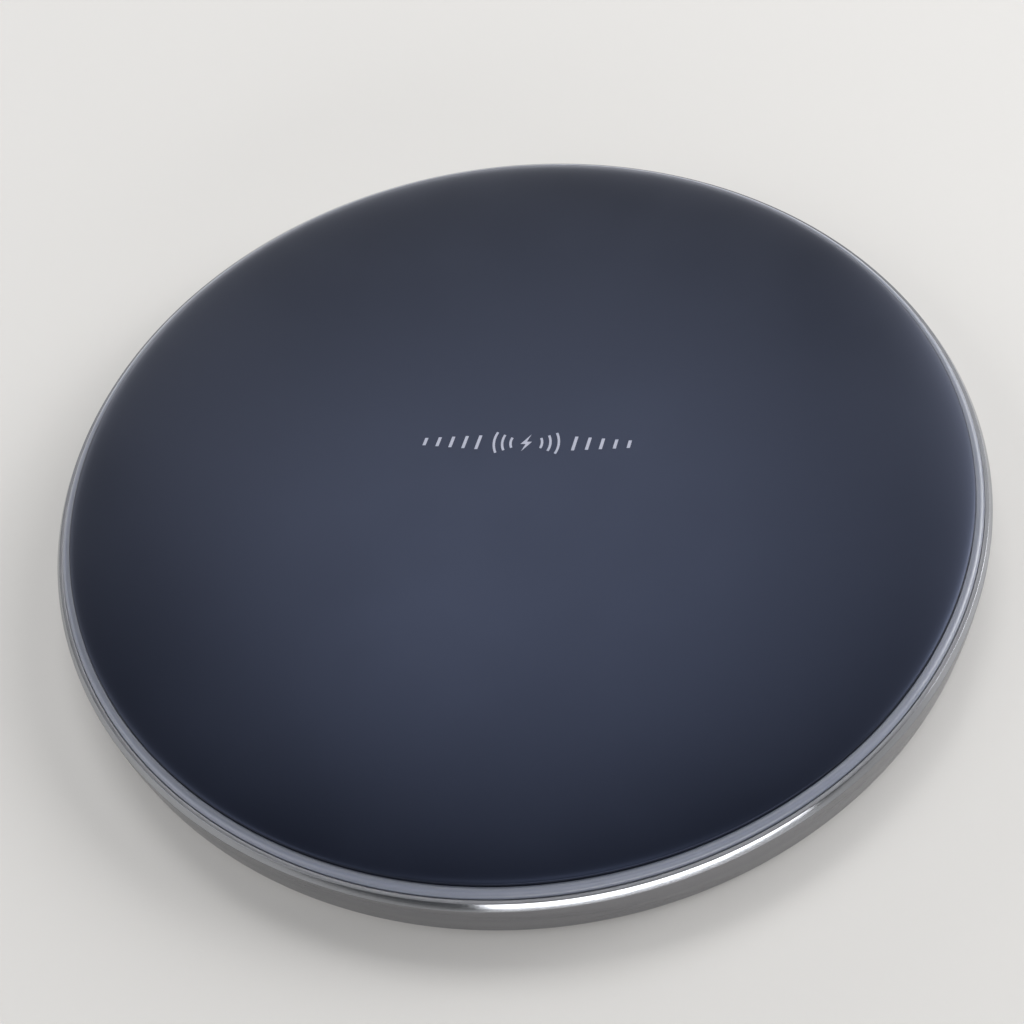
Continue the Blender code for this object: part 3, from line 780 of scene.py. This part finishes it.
def make_tongue():
    low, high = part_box("usb_tongue")
    blade_x, blade_z = 3.345 * MM, 0.35 * MM
    block_end = low.y + 2.3 * MM
    blade = bmesh.new()
    blade_low = Vector((-blade_x, block_end - 0.2 * MM, PORT_Z - blade_z))
    slab(blade, blade_low, Vector((blade_x, high.y, PORT_Z + blade_z)), 0.12 * MM)
    tongue = finish_mesh("inlet_tongue", blade)
    block = bmesh.new()
    slab(block, low, Vector((high.x, block_end, high.z)), 0.3 * MM)
    boolean(tongue, "UNION", finish_mesh("block", block))
    dark, light = (0.012, 0.012, 0.013), (0.020, 0.020, 0.022)
    paint(tongue, grained("contact_plastic", dark, light, FINE_GRAIN, (0.4, 0.55), 0.003 * MM))
    place(tongue, "inlet_plastic", "usb_tongue")
    make_contacts(blade_z, block_end + 0.3 * MM, high.y - 0.5 * MM)


def make_contacts(blade_z, start, end):
    """A row of gold strips on each face of the tongue's blade."""
    strips = bmesh.new()
    pitch, strip, thick = 0.5 * MM, 0.26 * MM, 0.03 * MM
    count = 12
    for i in range(count):
        x = (i - (count - 1) / 2) * pitch
        for side in (1, -1):
            face = PORT_Z + side * blade_z
            lows = Vector((x - strip / 2, start, min(face, face + side * thick)))
            highs = Vector((x + strip / 2, end, max(face, face + side * thick)))
            slab(strips, lows, highs, 0.006 * MM)
    contacts = finish_mesh("inlet_contacts", strips)
    dark, light = (0.72, 0.50, 0.20), (0.86, 0.62, 0.28)
    paint(contacts, grained("contact_gold", dark, light, FINE_GRAIN, (0.2, 0.32), 0.001 * MM, 1.0))
    place(contacts, "inlet_steel")


# ---------------------------------------------------------------- parts inside

def board_green():
    """Solder mask over copper: paler tracks show through, with pads of tin between them."""
    g = Graph("board_green")
    tracks = g.cells(g.stretch(g.place(), (900.0, 900.0, 1.0)), 0.6)
    on_track = g.math("LESS_THAN", tracks, 0.32)
    grain = g.noise(g.place(), 3000.0, 2.0, 0.6)
    return g.shade(
        Base_Color=g.blend(on_track, (0.006, 0.085, 0.040), (0.014, 0.150, 0.070)),
        Roughness=g.span(grain, 0.3, 0.7, 0.28, 0.42),
        Normal=g.bump(g.math("ADD", on_track, grain), 0.010 * MM),
    )


def litz_copper():
    """Enamelled strands laid side by side, twisted along the turns."""
    g = Graph("litz_copper")
    strands = g.noise(g.turned(40.0, 9000.0, 9000.0), 1.0, 2.0, 0.6)
    return g.shade(
        Base_Color=g.blend(strands, (0.50, 0.20, 0.09), (0.85, 0.45, 0.24)),
        Metallic=0.9,
        Roughness=g.span(strands, 0.3, 0.7, 0.25, 0.42),
        Normal=g.bump(strands, 0.03 * MM),
    )


def dress_inner_parts():
    """Gives each CAD part inside the pad its material, by the start of its name."""
    fine, coarse = 4000.0, 1500.0
    steel = grained("zinc_steel", (0.48, 0.49, 0.51), (0.60, 0.61, 0.63), fine, (0.24, 0.40), 0.003 * MM, 1.0)
    sleeve = grained("lead_sleeve", (0.45, 0.05, 0.04), (0.60, 0.09, 0.07), fine, (0.45, 0.60), 0.004 * MM)
    chip = grained("chip_black", (0.014, 0.014, 0.016), (0.024, 0.024, 0.026), fine, (0.45, 0.62), 0.006 * MM)
    ceramic = grained("capacitor_tan", (0.38, 0.27, 0.17), (0.50, 0.37, 0.25), fine, (0.35, 0.50), 0.004 * MM)
    epoxy = grained("epoxy_bead", (0.02, 0.04, 0.09), (0.04, 0.08, 0.15), fine, (0.15, 0.25), 0.002 * MM)
    inductor = grained("inductor_grey", (0.07, 0.07, 0.08), (0.12, 0.12, 0.13), coarse, (0.5, 0.7), 0.01 * MM)
    diode = grained("diode_white", (0.72, 0.70, 0.60), (0.86, 0.85, 0.80), fine, (0.3, 0.45), 0.002 * MM)
    ferrite = grained(
        "ferrite", (0.035, 0.037, 0.042), (0.065, 0.067, 0.074), coarse, (0.45, 0.65), 0.01 * MM
    )
    foam = grained("foam_tape", (0.06, 0.06, 0.065), (0.11, 0.11, 0.115), coarse, (0.8, 0.95), 0.05 * MM)
    film = grained("adhesive_film", (0.50, 0.38, 0.14), (0.66, 0.54, 0.25), fine, (0.3, 0.5), 0.004 * MM)
    finishes = {
        "base_screw": steel,
        "crystal": steel,
        "coil_lead": sleeve,
        "thermistor_wire": sleeve,
        "thermistor": epoxy,
        "controller_ic": chip,
        "bridge_mosfet": chip,
        "resonant_capacitor": ceramic,
        "input_capacitor": ceramic,
        "power_inductor": inductor,
        "ring_led": diode,
        "ferrite_shield": ferrite,
        "shield_foam_tape": foam,
        "coil_adhesive": film,
        "main_pcb": board_green(),
        "transmit_coil": litz_copper(),
    }
    for name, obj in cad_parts.items():
        fits = [key for key in finishes if name.startswith(key)]
        if not fits:
            continue
        obj.data.materials.clear()
        obj.data.materials.append(finishes[max(fits, key=len)])


# ---------------------------------------------------------------- floor, light and camera

FLOOR_REACH = 12.0  # metres, so that its edge stays out of low views


def make_floor():
    shape = bmesh.new()
    bmesh.ops.create_grid(shape, x_segments=1, y_segments=1, size=FLOOR_REACH)
    floor = finish_mesh("floor", shape)
    g = Graph("pale_floor")
    tone = g.noise(g.place(), 3.0, 3.0, 0.5)
    pale = g.blend(tone, (0.57, 0.558, 0.542), (0.61, 0.598, 0.582))
    paint(floor, g.shade(Base_Color=pale, Roughness=0.55))


def direction(azimuth, elevation):
    """Unit vector towards a compass point seen from the pad, in degrees: 0 is the near side, 90 the right."""
    a, e = math.radians(azimuth), math.radians(elevation)
    return Vector((math.sin(a) * math.cos(e), -math.cos(a) * math.cos(e), math.sin(e)))


def softbox(name, azimuth, elevation, distance, size, power):
    """A white panel that faces the pad; distance and size in metres, power in watts."""
    light = bpy.data.lights.new(name, "AREA")
    light.shape = "RECTANGLE"
    light.size, light.size_y = size
    light.energy = power
    obj = bpy.data.objects.new(name, light)
    bpy.context.scene.collection.objects.link(obj)
    towards = direction(azimuth, elevation)
    obj.location = towards * distance
    obj.rotation_mode = "QUATERNION"
    obj.rotation_quaternion = towards.to_track_quat("Z", "Y")


VIEW_TURN = 13.7  # degrees from the inlet's axis to the camera's own
CAMERA_PLACE = (13.17, 51.77, 150.85 * MM)  # azimuth, elevation, distance from the origin
CAMERA_AIM = Vector((1.27, -8.87, 8.63)) * MM
CAMERA_ROLL = -9.77  # degrees
CAMERA_LENS = 47.32  # millimetres


def make_lights():
    """Windows and ceiling panels, placed by their turn from the camera's side of the pad."""
    softbox("ceiling_bank", VIEW_TURN + 178, 57, 1.1, (0.55, 0.36), 3.35)
    softbox("near_ceiling", VIEW_TURN, 60, 1.1, (0.6, 0.4), 2.2)
    softbox("left_window", VIEW_TURN - 78, 30, 1.2, (1.3, 0.7), 5.3)
    softbox("left_glow", VIEW_TURN - 135, 18, 3.0, (2.1, 0.9), 13.5)
    softbox("right_window", VIEW_TURN + 118, 28, 1.2, (0.9, 0.8), 9.0)
    softbox("side_window", VIEW_TURN + 90, 25, 1.1, (0.6, 0.4), 5.5)
    softbox("far_window", VIEW_TURN + 178, 9, 3.2, (4.8, 0.72), 51.0)
    softbox("low_window", VIEW_TURN + 12.5, 8, 2.7, (3.12, 0.54), 39.6)
    softbox("small_lamp", VIEW_TURN - 156, 43, 1.0, (0.09, 0.06), 0.2)
    world = bpy.data.worlds.new("room")
    bpy.context.scene.world = world
    world.use_nodes = True
    background = world.node_tree.nodes["Background"]
    background.inputs["Color"].default_value = (0.85, 0.87, 0.90, 1)
    background.inputs["Strength"].default_value = 0.16


def make_camera():
    camera = bpy.data.objects.new("camera", bpy.data.cameras.new("camera"))
    bpy.context.scene.collection.objects.link(camera)
    camera.data.lens = CAMERA_LENS
    camera.data.clip_start = MM
    azimuth, elevation, distance = CAMERA_PLACE
    camera.location = direction(azimuth, elevation) * distance
    look = (camera.location - CAMERA_AIM).to_track_quat("Z", "Y").to_matrix()
    camera.rotation_mode = "QUATERNION"
    camera.rotation_quaternion = (look @ Matrix.Rotation(math.radians(CAMERA_ROLL), 3, "Z")).to_quaternion()
    bpy.context.scene.camera = camera
    bpy.context.scene.view_settings.view_transform = "Standard"


make_cover()
make_light_ring()
make_bezel()
make_base()
make_foot()
make_label()
make_print()
make_inlet()
dress_inner_parts()
make_floor()
make_lights()
make_camera()
